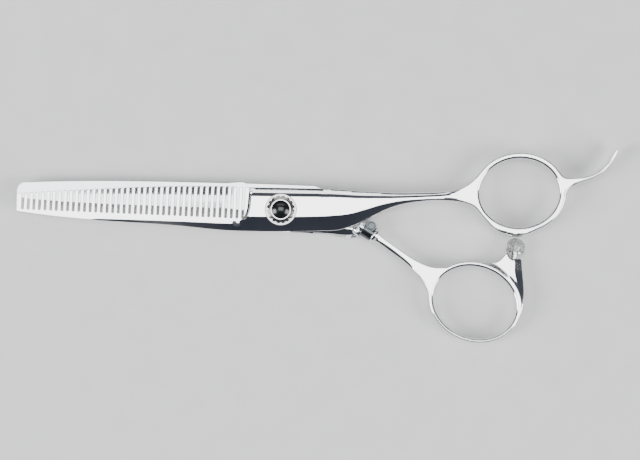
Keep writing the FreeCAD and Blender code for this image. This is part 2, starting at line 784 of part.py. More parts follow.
def swivel_barrel():
    """Collar pressed on the tang's spigot, with a side boss for the keeper screw."""
    body = new_body("swivel_barrel")
    rear = barrel_rear()
    front = rear + size("barrel_length")
    outer = size("barrel_radius")
    bore = size("spindle_radius") + 0.05
    seat = size("swivel_bush_radius")
    shelf = front - size("swivel_bush_depth")
    revolve(body, "barrel", [(0, rear), (outer - 0.2, rear), (outer, rear + 0.2), (outer, front - 0.1),
                             (outer - 0.1, front), (0, front)])
    boss = new_sketch(body, "boss_circle", "YZ_Plane")
    draw_keeper_circle(boss, size("boss_radius"))
    boss_height = 4.1
    pad(body, "boss", boss, boss_height, midplane=True)
    revolve(body, "bore", [(0, rear - 1), (bore, rear - 1), (bore, shelf), (seat, shelf),
                           (seat, front + 1), (0, front + 1)], cut=True)
    hole = new_sketch(body, "keeper_circle", "YZ_Plane")
    draw_keeper_circle(hole, size("keeper_radius") + 0.02)
    pocket(body, "keeper_hole", hole, 0, through=True)
    sink = new_sketch(body, "keeper_head_circle", "YZ_Plane")
    draw_keeper_circle(sink, KEEPER_HEAD_RADIUS + 0.05)
    sink.AttachmentOffset = FreeCAD.Placement(V(0, 0, KEEPER_HEAD_SEAT - 0.02), FreeCAD.Rotation())
    cut = body.newObject("PartDesign::Pocket", "keeper_head_recess")
    cut.Profile = sink
    cut.Length = 3.0
    cut.Reversed = True
    body.Placement = swivel_placement()
    return body


def draw_keeper_circle(sketch, radius):
    sketch.addGeometry(Part.Circle(V(-size("keeper_offset"), size("keeper_along"), 0), V(0, 0, 1), radius))


def swivel_bush():
    body = new_body("swivel_bush")
    inner = size("spindle_radius") + size("running_gap")
    outer = size("swivel_bush_radius") - 0.01
    flange = size("barrel_radius") - 0.05
    back = size("barrel_front") - size("swivel_bush_depth") + 0.02
    step = size("barrel_front") + 0.01
    front = -size("disc_thickness") / 2 - size("running_gap")
    revolve(body, "bush", [(inner, back), (outer, back), (outer, step), (flange, step),
                           (flange, front), (inner, front)])
    body.Placement = swivel_placement()
    return body


def swivel_spring():
    """Small disc spring between spigot and spindle, which gives the swivel its drag."""
    body = new_body("swivel_spring")
    outer = size("spindle_radius") - 0.05
    low = barrel_rear() + 0.41
    revolve(body, "spring", [(outer, low), (outer, low + 0.12), (0.55, low + 0.28), (0.55, low + 0.16)])
    body.Placement = swivel_placement()
    return body


def keeper_screw():
    """Runs across the barrel in the spindle's groove and keeps the thumb handle in."""
    body = new_body("keeper_screw")
    shaft = size("keeper_radius")
    head = KEEPER_HEAD_RADIUS
    end = -2.0
    top = 2.2
    revolve(body, "screw", [(0, end), (shaft - 0.1, end), (shaft, end + 0.1), (shaft, KEEPER_HEAD_SEAT),
                            (head, KEEPER_HEAD_SEAT), (head, top - 0.2), (head - 0.2, top), (0, top)])
    screwdriver_slot(body, half_width=0.16, floor=top - 0.3)
    place = along_swivel(size("keeper_along"), size("keeper_offset"))
    body.Placement = FreeCAD.Placement(V(*place), FreeCAD.Rotation(V(0, 0, 1), 20))
    return body


# ---------------------------------------------------------------- thumb handle

# distance along the swivel axis, lower and upper edge beside it, half height, small facets
THUMB_SHANK = [
    (0.3, -1.45, 1.05, 1.30, 0.55),
    (1.8, -1.25, 0.75, 1.15, 0.50),
    (5.0, -1.50, 0.55, 1.15, 0.50),
    (9.0, -1.75, 0.45, 1.20, 0.50),
    (12.5, -2.15, 0.42, 1.35, 0.55),
    (15.5, -2.80, 0.75, 1.60, 0.65),
    (17.8, -3.45, 1.30, 1.80, 0.80),
    (19.8, -4.30, 2.30, 1.95, 0.90),
    (21.3, -5.40, 3.60, 2.00, 0.90),
]


def thumb_handle():
    """Drawn about z = 0 and set down on the swivel axis' height."""
    body = new_body("thumb_handle")
    x = size("thumb_ring_x")
    y = size("thumb_ring_y")
    turn = size("thumb_ring_turn")
    offset = 0.15
    ring(body, "thumb_ring", x, y + offset, size("thumb_ring_long"), size("thumb_ring_short"), turn)

    arm = new_sketch(body, "arm_outline")
    draw_loop(arm, [
        ("curve", [(57.0, -14.6), (60.1, -14.5), (61.5, -13.6), (62.3, -12.5), (62.93, -11.77)]),
        ("line", [(62.93, -11.77), (67.87, -12.50)]),
        ("curve", [(67.87, -12.50), (67.6, -14.6), (67.8, -17.1), (68.2, -22.7), (67.9, -26.5),
                   (66.6, -30.0)]),
        ("line", [(66.6, -30.0), (65.2, -29.0)]),
        ("curve", [(65.2, -29.0), (65.9, -24.0), (64.0, -19.5), (57.0, -14.6)]),
    ])
    pad(body, "arm", arm, 4.2, midplane=True)

    # ridge down the arm: its outer side falls away from the crest
    for way in (1, -1):
        cuts = []
        for index, (ay, ridge) in enumerate([(-11.0, 65.3), (-27.5, 67.2)]):
            sketch = new_sketch(body, "arm_fall_%d_%d" % (way, index), centre=(0, ay, 0),
                                across=(1, 0, 0), up=(0, 0, way))
            draw_polygon(sketch, [(ridge, 2.35), (70.0, 2.35), (70.0, 2.35 - 0.55 * (70.0 - ridge))])
            cuts.append(sketch)
        loft(body, "arm_fall_%d" % way, cuts, cut=True)

    along, side = swivel_axes()
    stations = []
    for index, (s, low, high, half, edge) in enumerate(THUMB_SHANK):
        centre = along_swivel(s)[:2] + (0,)
        stations.append(facet_section(body, "shank_section_%d" % index, centre, side,
                                      low, high, -half, half, edge, edge))
    loft(body, "shank", stations)

    # disc and grooved spindle of the swivel
    spindle = size("spindle_radius")
    groove = size("groove_radius")
    half = size("disc_thickness") / 2
    middle = size("keeper_along")
    wide = size("groove_width") / 2
    disc = size("disc_radius")
    spin_about_swivel(body, "spindle", [
        (-3.12, 0), (-3.12, spindle - 0.12), (-3.0, spindle), (middle - wide, spindle),
        (middle - wide, groove), (middle + wide, groove), (middle + wide, spindle),
        (-half, spindle), (-half, disc - 0.15), (-half + 0.15, disc), (half - 0.3, disc),
        (half, disc - 0.4), (half + 0.5, 0)], 0)

    finger_hole(body, "thumb_hole", x, y, size("thumb_hole_long"), size("thumb_hole_short"), turn)

    tapped = new_sketch(body, "bumper_screw_circle", centre=(size("bumper_x"), size("bumper_y"), 0),
                        across=(0, 0, 1), up=bumper_side())
    tapped.addGeometry(Part.Circle(V(0, 0, 0), V(0, 0, 1), size("bumper_screw_radius") + 0.02))
    hole = body.newObject("PartDesign::Pocket", "bumper_screw_hole")
    hole.Profile = tapped
    hole.Length = 4.4
    hole.Midplane = True
    body.Placement = FreeCAD.Placement(V(0, 0, size("swivel_z")), FreeCAD.Rotation())
    return body


# ---------------------------------------------------------------- bumper

BUMPER_SCREW_HEAD = 1.45


def bumper_side():
    turn = math.radians(size("bumper_turn"))
    return (math.cos(turn), math.sin(turn), 0)


def bumper_placement():
    """Stands a body's Z axis on the end of the thumb ring's arm."""
    side = V(*bumper_side())
    along = V(-side.y, side.x, 0)
    turn = FreeCAD.Rotation(side, along.cross(side), along, "XYZ")
    return FreeCAD.Placement(V(size("bumper_x"), size("bumper_y"), size("swivel_z")), turn)


def bumper_seat():
    body = new_body("bumper_seat")
    radius = size("bumper_radius")
    bore = size("bumper_screw_radius") + size("running_gap")
    revolve(body, "flange", [(bore, 0.01), (radius, 0.01), (radius, 0.26), (radius - 0.05, 0.31),
                             (bore, 0.31)])
    body.Placement = bumper_placement()
    return body


def bumper_screw():
    body = new_body("bumper_screw")
    shaft = size("bumper_screw_radius")
    head = BUMPER_SCREW_HEAD
    revolve(body, "core", [(0, -2.1), (shaft, -2.1), (shaft, 1.1), (head, 1.1), (head, 2.0),
                           (head - 0.25, 2.25), (0, 2.25)])
    body.Placement = bumper_placement()
    return body


def bumper():
    body = new_body("bumper")
    radius = size("bumper_radius")
    top = size("bumper_length")
    line = top - 1.6
    shaft = size("bumper_screw_radius") + 0.02
    head = BUMPER_SCREW_HEAD + 0.02
    domed_turning(body, [(0, 2.27), (head, 2.27), (head, 1.08), (shaft, 1.08), (shaft, 0.32),
                         (radius - 0.05, 0.32), (radius, 0.42), (radius, line)], top)
    body.Placement = bumper_placement()
    return body


PIECES = [toothed_blade, pivot_bush, seat_ring, disc_spring, plain_blade, thrust_washer, pivot_bolt,
          keyed_washer, lock_screw, tension_dial, cap_bezel, dial_cap, swivel_barrel, swivel_bush,
          swivel_spring, keeper_screw, thumb_handle, bumper_seat, bumper_screw, bumper]

bodies = [piece() for piece in PIECES]
lift = FreeCAD.Placement(V(0, 0, -size("bolt_head_face")), FreeCAD.Rotation())
for body in bodies:
    body.Placement = lift.multiply(body.Placement)
doc.recompute()

for item in doc.Objects:
    if "Invalid" in item.State or "Error" in item.State:
        raise SystemExit("%s is in state %s" % (item.Name, item.State))
for body in bodies:
    if body.Shape.isNull() or not body.Shape.isValid() or len(body.Shape.Solids) != 1:
        raise SystemExit("%s is not one valid solid" % body.Label)

os.makedirs("parts", exist_ok=True)
for body in bodies:
    body.Shape.exportStep("parts/%s.step" % body.Label)
    print(body.Label, round(body.Shape.Volume, 2))
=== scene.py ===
import json
import math

import bmesh
import bpy
import numpy as np
from mathutils import Matrix, Vector
from mathutils.bvhtree import BVHTree
from mathutils.geometry import delaunay_2d_cdt
from mathutils.kdtree import KDTree


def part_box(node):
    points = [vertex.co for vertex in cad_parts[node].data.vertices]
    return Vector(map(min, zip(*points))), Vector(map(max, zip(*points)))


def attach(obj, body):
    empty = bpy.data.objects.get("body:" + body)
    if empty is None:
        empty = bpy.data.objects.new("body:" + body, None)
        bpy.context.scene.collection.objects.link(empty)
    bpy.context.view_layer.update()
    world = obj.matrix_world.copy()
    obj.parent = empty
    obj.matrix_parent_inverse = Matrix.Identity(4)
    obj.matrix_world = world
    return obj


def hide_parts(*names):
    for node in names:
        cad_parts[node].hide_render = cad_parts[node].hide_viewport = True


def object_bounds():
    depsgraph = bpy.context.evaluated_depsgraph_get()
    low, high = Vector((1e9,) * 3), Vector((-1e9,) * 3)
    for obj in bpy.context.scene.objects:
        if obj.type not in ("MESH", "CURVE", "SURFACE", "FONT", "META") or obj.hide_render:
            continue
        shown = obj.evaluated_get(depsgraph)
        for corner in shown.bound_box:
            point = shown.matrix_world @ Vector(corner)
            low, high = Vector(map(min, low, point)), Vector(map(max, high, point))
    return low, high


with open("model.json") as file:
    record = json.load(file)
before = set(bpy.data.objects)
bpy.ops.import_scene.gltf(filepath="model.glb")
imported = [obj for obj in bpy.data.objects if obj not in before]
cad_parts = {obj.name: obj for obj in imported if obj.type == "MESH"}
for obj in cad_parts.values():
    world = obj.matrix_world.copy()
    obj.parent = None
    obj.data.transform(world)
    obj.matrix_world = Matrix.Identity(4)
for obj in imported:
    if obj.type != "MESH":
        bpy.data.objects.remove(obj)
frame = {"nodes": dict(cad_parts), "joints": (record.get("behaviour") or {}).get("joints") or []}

# Thinning shears: mirror-polished forgings, a turned tension dial, a swivelling thumb ring and a
# soft bumper.  Outlines and most heights are read from the frame; the ground facets are stations
# of (x, value).  Plan work is in millimetres.

CAD_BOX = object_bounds()
MM = 0.001
scene = bpy.context.scene
JOINTS = {joint["name"]: joint for joint in frame["joints"]}
ROUNDING_ANGLES = (0, 15, 30, 45, 60, 75)        # rows of points across a rounded edge, degrees
SHARP_ANGLE = 34                                 # steeper folds than this stay sharp, degrees
RIDGE_CLEARANCE = 0.1                            # a ridge line stops this far from the outline, mm


# ------------------------------------------------------------------ reading the frame

def level(node, x, y, side=1):
    """Height in mm of a CAD node's top (side 1) or underside (side -1) at a place in plan.

    Where the place just misses the node, the nearest of a few places round it is taken."""
    if node not in level.trees:
        data = frame["nodes"][node].data
        level.trees[node] = BVHTree.FromPolygons([v.co for v in data.vertices],
                                                 [p.vertices for p in data.polygons])
    far = 0.05 * side
    for reach in (0, 0.03, 0.08, 0.2, 0.5):
        for across, along in ((1, 0), (-1, 0), (0, 1), (0, -1)):
            start = Vector(((x + reach * across) * MM, (y + reach * along) * MM, far))
            hit = level.trees[node].ray_cast(start, Vector((0, 0, -side)))
            if hit[0] is not None:
                return hit[0].z / MM
    raise ValueError("%s has nothing at %.2f, %.2f" % (node, x, y))


level.trees = {}


def cut_loops(node, height):
    """Outlines in mm where the level `height` cuts a CAD node, the longest first."""
    work = bmesh.new()
    work.from_mesh(frame["nodes"][node].data)
    bmesh.ops.remove_doubles(work, verts=work.verts, dist=1e-7)
    cut = bmesh.ops.bisect_plane(work, geom=work.verts[:] + work.edges[:] + work.faces[:],
                                 plane_co=(0, 0, height * MM), plane_no=(0, 0, 1))
    links = {}
    for part in cut["geom_cut"]:
        if isinstance(part, bmesh.types.BMEdge):
            for one, other in (part.verts, reversed(part.verts)):
                links.setdefault(one, []).append(other)
    loops = []
    while links:
        start = next(iter(links))
        chain = [start]
        while links.get(chain[-1]):
            following = links[chain[-1]].pop()
            links[following].remove(chain[-1])
            chain.append(following)
        for vert in set(chain):
            if not links[vert]:
                del links[vert]
        loops.append(np.array([(v.co.x / MM, v.co.y / MM) for v in chain[:-1]]))
    work.free()
    loops = [anticlockwise(loop) for loop in loops if len(loop) > 2]
    return sorted(loops, key=lambda loop: -length_of(loop))


def length_of(loop):
    return np.linalg.norm(loop - np.roll(loop, 1, axis=0), axis=1).sum()


def anticlockwise(loop):
    after = np.roll(loop, -1, axis=0)
    area = (loop[:, 0] * after[:, 1] - after[:, 0] * loop[:, 1]).sum()
    return loop if area > 0 else loop[::-1]


# ------------------------------------------------------------------ plan geometry

def ease(value, low, high):
    """0 below low, 1 above high, smooth between."""
    share = np.clip((value - low) / (high - low), 0, 1)
    return share * share * (3 - 2 * share)


def through(stations):
    """Smooth function of x through (x, value) stations, level outside them."""
    at, value = (np.array(column, float) for column in zip(*stations))
    slope = np.gradient(value, at)
    slope[[0, -1]] = 0

    def reading(x):
        x = np.clip(x, at[0], at[-1])
        i = np.clip(np.searchsorted(at, x) - 1, 0, len(at) - 2)
        wide = at[i + 1] - at[i]
        t = (x - at[i]) / wide
        return ((2 * t**3 - 3 * t**2 + 1) * value[i] + (t**3 - 2 * t**2 + t) * wide * slope[i]
                + (3 * t**2 - 2 * t**3) * value[i + 1] + (t**3 - t**2) * wide * slope[i + 1])
    return reading


def refine(loop, step, curved):
    """Closed loop with no side longer than step; sides where curved(point) holds bend smoothly."""
    count = len(loop)
    before = np.roll(loop, 1, axis=0)
    after = np.roll(loop, -1, axis=0)
    ahead = np.linalg.norm(after - loop, axis=1) + 1e-9
    behind = np.linalg.norm(loop - before, axis=1) + 1e-9
    tangent = ((after - loop) / ahead[:, None] * behind[:, None]
               + (loop - before) / behind[:, None] * ahead[:, None]) / (ahead + behind)[:, None]
    out = []
    for i in range(count):
        j = (i + 1) % count
        wide = ahead[i]
        t = (np.arange(max(1, math.ceil(wide / step))) / max(1, math.ceil(wide / step)))[:, None]
        if curved((loop[i] + loop[j]) / 2):
            out.append((2 * t**3 - 3 * t**2 + 1) * loop[i] + (t**3 - 2 * t**2 + t) * wide * tangent[i]
                       + (3 * t**2 - 2 * t**3) * loop[j] + (t**3 - t**2) * wide * tangent[j])
        else:
            out.append(loop[i] + (loop[j] - loop[i]) * t)
    return np.vstack(out)


def soften(loop, share, rounds):
    """Laplacian smoothing of a closed loop, by the given share at each point."""
    for _ in range(rounds):
        middle = (np.roll(loop, 1, axis=0) + np.roll(loop, -1, axis=0)) / 2
        loop = loop + (middle - loop) * share[:, None] * 0.5
    return loop


def inset(loop, offset):
    """Closed anticlockwise loop, each point moved inwards by its own offset."""
    ahead = np.roll(loop, -1, axis=0) - np.roll(loop, 1, axis=0)
    ahead = ahead / (np.linalg.norm(ahead, axis=1)[:, None] + 1e-12)
    return loop + offset[:, None] * np.stack([-ahead[:, 1], ahead[:, 0]], 1)


def edge_distance(points, loops):
    """Distance of every point to the nearest side of the loops."""
    spots = np.vstack(loops)
    before = np.vstack([np.roll(loop, 1, axis=0) for loop in loops])
    after = np.vstack([np.roll(loop, -1, axis=0) for loop in loops])
    tree = KDTree(len(spots))
    for i, (x, y) in enumerate(spots):
        tree.insert((x, y, 0), i)
    tree.balance()
    near = np.array([tree.find((x, y, 0))[1] for x, y in points])
    best = np.full(len(points), np.inf)
    for far in (before, after):
        way = far[near] - spots[near]
        share = ((points - spots[near]) * way).sum(1) / ((way ** 2).sum(1) + 1e-12)
        foot = spots[near] + np.clip(share, 0, 1)[:, None] * way
        best = np.minimum(best, np.linalg.norm(points - foot, axis=1))
    return best


def inside(points, loop):
    """Which points lie inside a closed loop."""
    ax, ay = loop.T
    bx, by = np.roll(loop, -1, axis=0).T
    result = np.zeros(len(points), bool)
    for low in range(0, len(points), 1000):
        x, y = points[low:low + 1000].T[:, :, None]
        crosses = (ay > y) != (by > y)
        reach = (bx - ax) * (y - ay) / np.where(by == ay, 1e-12, by - ay) + ax
        result[low:low + 1000] = (crosses & (x < reach)).sum(1) % 2 == 1
    return result


def spread(points, gap, taken):
    """The points that keep their gap from each other and from those taken, first come first kept."""
    cell = 0.1
    table = {}

    def place(x, y):
        table.setdefault((int(x // cell), int(y // cell)), []).append((x, y))

    def free(x, y, limit):
        reach = int(limit // cell) + 1
        column, row = int(x // cell), int(y // cell)
        for i in range(column - reach, column + reach + 1):
            for j in range(row - reach, row + reach + 1):
                for other_x, other_y in table.get((i, j), ()):
                    if (other_x - x) ** 2 + (other_y - y) ** 2 < limit * limit:
                        return False
        return True

    for x, y in taken.tolist():
        place(x, y)
    kept = []
    for (x, y), limit in zip(points.tolist(), gap.tolist()):
        if free(x, y, limit):
            kept.append((x, y))
            place(x, y)
    return np.array(kept).reshape(-1, 2)


def rounded(distance, width, depth):
    """How far an elliptically rounded edge has dropped at this distance from the outline."""
    share = np.clip(1 - distance / width, 0, 1)
    return depth * (1 - np.sqrt(1 - share ** 2))


def forge(name, loops, ridges, lattice, width, top, floor):
    """Closed mesh over a flat outline: loops[0] outside and the rest holes, in mm.

    width(points, hole) is the width of the rounding along the edges, ridges are lines kept as
    sharp edges, lattice is a list of (spacing, where) for the points between, and top(points) and
    floor(points) give the heights of the two faces."""
    outline, holes = loops[0], loops[1:]
    ridges = [ridge[edge_distance(ridge, loops) > RIDGE_CLEARANCE] for ridge in ridges]
    fixed, edges = [], []
    for line, closed in [(loop, True) for loop in loops] + [(ridge, False) for ridge in ridges]:
        first = sum(len(part) for part in fixed)
        count = len(line)
        fixed.append(line)
        edges += [(first + i, first + (i + 1) % count) for i in range(count if closed else count - 1)]
    rim_edges = sum(len(loop) for loop in loops)
    fixed = np.vstack(fixed)

    def within(points):
        keep = inside(points, outline)
        for hole in holes:
            keep &= ~inside(points, hole)
        return keep

    field, gaps = [], []
    for angle in ROUNDING_ANGLES:
        share = 1 - math.sin(math.radians(angle))
        for i, loop in enumerate(loops):
            reach = width(loop, i > 0)
            wanted = (share > 0.9) | (reach > 0.09)
            line = inset(loop, reach * share * (1 if i == 0 else -1))
            true_reach = edge_distance(line, loops)
            wanted &= within(line) & (true_reach > reach * share * 0.93)
            field.append(line[wanted])
            gaps.append(0.25 * true_reach[wanted] + 0.006)
    low, high = outline.min(0), outline.max(0)
    for spacing, where in lattice:
        x, y = np.meshgrid(np.arange(low[0], high[0], spacing), np.arange(low[1], high[1], spacing))
        x[1::2] += spacing / 2
        grid = np.stack([x.ravel(), y.ravel()], 1)
        grid = grid[where(grid)]
        grid = grid[within(grid)]
        grid = grid[edge_distance(grid, loops) > width(grid, False) + spacing * 0.3]
        field.append(grid)
        gaps.append(np.full(len(grid), spacing * 0.45))
    field = spread(np.vstack(field), np.concatenate(gaps), fixed)
    everything = np.vstack([fixed, field])
    out = delaunay_2d_cdt([Vector(p) for p in everything], edges, [], 0, 1e-6)
    flat = np.array([tuple(v) for v in out[0]])
    tris = np.array(out[2])
    tris = tris[within(flat[tris].mean(1))]
    a, b, c = (flat[tris[:, i]] for i in range(3))
    turn = (b[:, 0] - a[:, 0]) * (c[:, 1] - a[:, 1]) - (b[:, 1] - a[:, 1]) * (c[:, 0] - a[:, 0])
    tris[turn < 0] = tris[turn < 0][:, ::-1]
    tris = tris[np.abs(turn) > 1e-10].tolist()
    count = len(flat)
    verts = np.vstack([np.column_stack([flat, top(flat)]), np.column_stack([flat, floor(flat)])])
    faces = [tuple(t) for t in tris] + [(c + count, b + count, a + count) for a, b, c in tris]
    sides = {(t[i], t[(i + 1) % 3]) for t in tris for i in range(3)}
    for start, end in sorted(sides):
        if (end, start) not in sides:
            faces.append((end, start, start + count, end + count))
    thing = build(name, verts, faces)
    thing.data.polygons.foreach_set("use_smooth", [True] * len(faces))
    thing.data.set_sharp_from_angle(angle=math.radians(SHARP_ANGLE))
    crease = {tuple(sorted(edge)) for edge, source in zip(out[1], out[4])
              if any(i >= rim_edges for i in source)}
    for edge in thing.data.edges:
        if tuple(sorted(edge.vertices)) in crease:
            edge.use_edge_sharp = True
    loose = bmesh.new()
    loose.from_mesh(thing.data)
    bmesh.ops.delete(loose, geom=[v for v in loose.verts if not v.link_faces], context="VERTS")
    loose.to_mesh(thing.data)
    loose.free()
    return thing


def build(name, verts, faces):
    """Mesh object from corners in mm."""
    data = bpy.data.meshes.new(name)
    data.from_pydata([tuple(v) for v in np.asarray(verts) * MM], [], faces)
    data.validate()
    data.update()
    thing = bpy.data.objects.new(name, data)
    scene.collection.objects.link(thing)
    return thing


# ------------------------------------------------------------------ materials

def new_material(name):
    material = bpy.data.materials.new(name)
    material.use_nodes = True
    tree = material.node_tree
    return material, tree, tree.nodes["Principled BSDF"]


def add(tree, kind, **inputs):
    node = tree.nodes.new(kind)
    for key, value in inputs.items():
        node.inputs[key.replace("_", " ")].default_value = value
    return node


def ramp(tree, source, stops):
    node = tree.nodes.new("ShaderNodeValToRGB")
    while len(node.color_ramp.elements) < len(stops):
        node.color_ramp.elements.new(0.5)
    for element, (place, colour) in zip(node.color_ramp.elements, stops):
        element.position = place
        element.color = (*colour, 1.0) if isinstance(colour, tuple) else (colour, colour, colour, 1.0)
    tree.links.new(source, node.inputs["Fac"])
    return node.outputs["Color"]


def spot(tree, scale=(1, 1, 1)):
    """The point's place in the object, in metres, stretched by scale."""
    place = tree.nodes.new("ShaderNodeTexCoord")
    stretch = tree.nodes.new("ShaderNodeMapping")
    stretch.inputs["Scale"].default_value = scale
    tree.links.new(place.outputs["Object"], stretch.inputs["Vector"])
    return stretch.outputs["Vector"]


def noise(tree, where, scale, detail=3.0, rough=0.55):
    node = add(tree, "ShaderNodeTexNoise", Scale=scale, Detail=detail, Roughness=rough)
    tree.links.new(where, node.inputs["Vector"])
    return node.outputs["Fac"]


def bump(tree, shader, height, depth_mm):
    node = add(tree, "ShaderNodeBump", Strength=1.0, Distance=depth_mm * MM)
    tree.links.new(height, node.inputs["Height"])
    tree.links.new(node.outputs["Normal"], shader.inputs["Normal"])


def polished_steel(name, tint, rough, grain=0.0015, lines=(60, 2600, 2600)):
    """Mirror-polished steel: faint lengthwise buffing lines and hazy handling marks."""
    material, tree, shader = new_material(name)
    links = tree.links
    shader.inputs["Metallic"].default_value = 1.0
    haze = noise(tree, spot(tree), 70.0, 4.0)
    buffed = noise(tree, spot(tree, lines), 1.0, 3.0, 0.6)
    low, high = rough
    gloss = ramp(tree, haze, [(0.35, low), (0.75, high)])
    links.new(gloss, shader.inputs["Roughness"])
    worn = tuple(c * 0.93 for c in tint)
    links.new(ramp(tree, haze, [(0.3, worn), (0.7, tint)]), shader.inputs["Base Color"])
    bump(tree, shader, buffed, grain)
    return material


def turned_steel(name, tint, rough, axis_place, pitch=0.11, groove=0.004):
    """Lathe-turned steel: fine concentric tool marks round the pivot axis."""
    material, tree, shader = new_material(name)
    links = tree.links
    shader.inputs["Metallic"].default_value = 1.0
    place = tree.nodes.new("ShaderNodeTexCoord")
    split = tree.nodes.new("ShaderNodeSeparateXYZ")
    links.new(place.outputs["Object"], split.inputs["Vector"])
    flat = tree.nodes.new("ShaderNodeCombineXYZ")
    for axis, shift in zip("XY", axis_place):
        minus = tree.nodes.new("ShaderNodeMath")
        minus.operation = "SUBTRACT"
        minus.inputs[1].default_value = shift
        links.new(split.outputs[axis], minus.inputs[0])
        links.new(minus.outputs[0], flat.inputs[axis])
    reach = tree.nodes.new("ShaderNodeVectorMath")
    reach.operation = "LENGTH"
    links.new(flat.outputs["Vector"], reach.inputs[0])
    turns = tree.nodes.new("ShaderNodeMath")
    turns.operation = "MULTIPLY"
    turns.inputs[1].default_value = 2 * math.pi / (pitch * MM)
    links.new(reach.outputs["Value"], turns.inputs[0])
    wave = tree.nodes.new("ShaderNodeMath")
    wave.operation = "SINE"
    links.new(turns.outputs[0], wave.inputs[0])
    haze = noise(tree, spot(tree), 400.0, 3.0)
    low, high = rough
    links.new(ramp(tree, haze, [(0.3, low), (0.7, high)]), shader.inputs["Roughness"])
    worn = tuple(c * 0.9 for c in tint)
    links.new(ramp(tree, haze, [(0.35, worn), (0.65, tint)]), shader.inputs["Base Color"])
    bump(tree, shader, wave.outputs[0], groove)
    return material


def black_gloss():
    """Glossy black insert with a clear coat and a few dust specks."""
    material, tree, shader = new_material("cap_black_gloss")
    links = tree.links
    specks = noise(tree, spot(tree), 5000.0, 2.0)
    links.new(ramp(tree, specks, [(0.66, (0.006, 0.008, 0.008)), (0.74, (0.03, 0.034, 0.032))]),
              shader.inputs["Base Color"])
    links.new(ramp(tree, noise(tree, spot(tree), 900.0), [(0.3, 0.2), (0.7, 0.28)]),
              shader.inputs["Roughness"])
    shader.inputs["Coat Weight"].default_value = 0.35
    shader.inputs["Coat Roughness"].default_value = 0.14
    return material


def silicone():
    """Cloudy grey silicone, slightly see-through."""
    material, tree, shader = new_material("bumper_silicone")
    links = tree.links
    cloud = noise(tree, spot(tree), 900.0, 4.0)
    links.new(ramp(tree, cloud, [(0.3, (0.66, 0.68, 0.67)), (0.7, (0.82, 0.83, 0.81))]),
              shader.inputs["Base Color"])
    links.new(ramp(tree, cloud, [(0.3, 0.16), (0.7, 0.3)]), shader.inputs["Roughness"])
    shader.inputs["Transmission Weight"].default_value = 0.85
    shader.inputs["IOR"].default_value = 1.38
    shader.inputs["Subsurface Weight"].default_value = 0.15
    shader.inputs["Subsurface Radius"].default_value = (0.002, 0.002, 0.002)
    bump(tree, shader, noise(tree, spot(tree), 2500.0, 3.0), 0.01)
    return material


def slide_plastic():
    """White low-friction plastic with a faint moulded mottle."""
    material, tree, shader = new_material("washer_plastic")
    mottle = noise(tree, spot(tree), 600.0, 4.0)
    tree.links.new(ramp(tree, mottle, [(0.3, (0.70, 0.69, 0.66)), (0.7, (0.82, 0.81, 0.78))]),
                   shader.inputs["Base Color"])
    shader.inputs["Roughness"].default_value = 0.45
    bump(tree, shader, mottle, 0.01)
    return material


BRIGHT_STEEL = polished_steel("forging_steel", (0.93, 0.93, 0.94), (0.05, 0.11))
BLADE_STEEL = polished_steel("blade_steel", (0.74, 0.76, 0.79), (0.10, 0.17), 0.002)
SCREW_STEEL = polished_steel("screw_steel", (0.62, 0.62, 0.62), (0.12, 0.2), 0.003, (900, 900, 900))
DARK_STEEL = polished_steel("blackened_steel", (0.10, 0.11, 0.12), (0.16, 0.28), 0.003, (900, 900, 900))
SPRING_STEEL = polished_steel("spring_steel", (0.45, 0.43, 0.40), (0.22, 0.32), 0.003, (900, 900, 900))
BRONZE = polished_steel("bush_bronze", (0.60, 0.42, 0.22), (0.25, 0.38), 0.003, (900, 900, 900))
DIAL_STEEL = turned_steel("dial_turned", (0.50, 0.49, 0.47), (0.14, 0.2), (0, 0), 0.16, 0.0012)
SEAT_STEEL = turned_steel("seat_turned", (0.74, 0.74, 0.75), (0.1, 0.18), (0, 0), 0.2, 0.0015)
CAP_BLACK = black_gloss()
SILICONE = silicone()
PLASTIC = slide_plastic()

NODE_FINISH = {
    "toothed_blade": BRIGHT_STEEL, "plain_blade": BLADE_STEEL, "thumb_handle": BRIGHT_STEEL,
    "pivot_bush": BRONZE, "swivel_bush": DARK_STEEL, "seat_ring": SEAT_STEEL, "disc_spring": SPRING_STEEL,
    "swivel_spring": SPRING_STEEL, "thrust_washer": PLASTIC, "pivot_bolt": SCREW_STEEL,
    "keyed_washer": SCREW_STEEL, "lock_screw": SCREW_STEEL, "tension_dial": DIAL_STEEL,
    "cap_bezel": SEAT_STEEL, "dial_cap": CAP_BLACK, "swivel_barrel": DARK_STEEL,
    "keeper_screw": DARK_STEEL, "bumper_seat": SCREW_STEEL, "bumper_screw": SCREW_STEEL,
    "bumper": SILICONE,
}


def finish(thing, material):
    thing.data.materials.clear()
    thing.data.materials.append(material)


# ------------------------------------------------------------------ places, in mm

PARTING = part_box("thrust_washer")[1].z / MM      # where the two halves meet
SWIVEL = Vector(JOINTS["thumb_swivel"]["pos_m"]) / MM
SWIVEL_WAY = Vector(JOINTS["thumb_swivel"]["axis"])
SECTION = 0.15                                   # outline cut above the parting plane


# ------------------------------------------------------------------ front half

def near_edge(loop, low_x, high_x, upper, split):
    """Height in plan of a forging's upper or lower edge, as a function of x."""
    wanted = (loop[:, 0] > low_x) & (loop[:, 0] < high_x)
    wanted &= (loop[:, 1] > split) if upper else (loop[:, 1] < split)
    points = loop[wanted]
    points = points[points[:, 0].argsort()]
    return lambda x: np.interp(x, points[:, 0], points[:, 1])


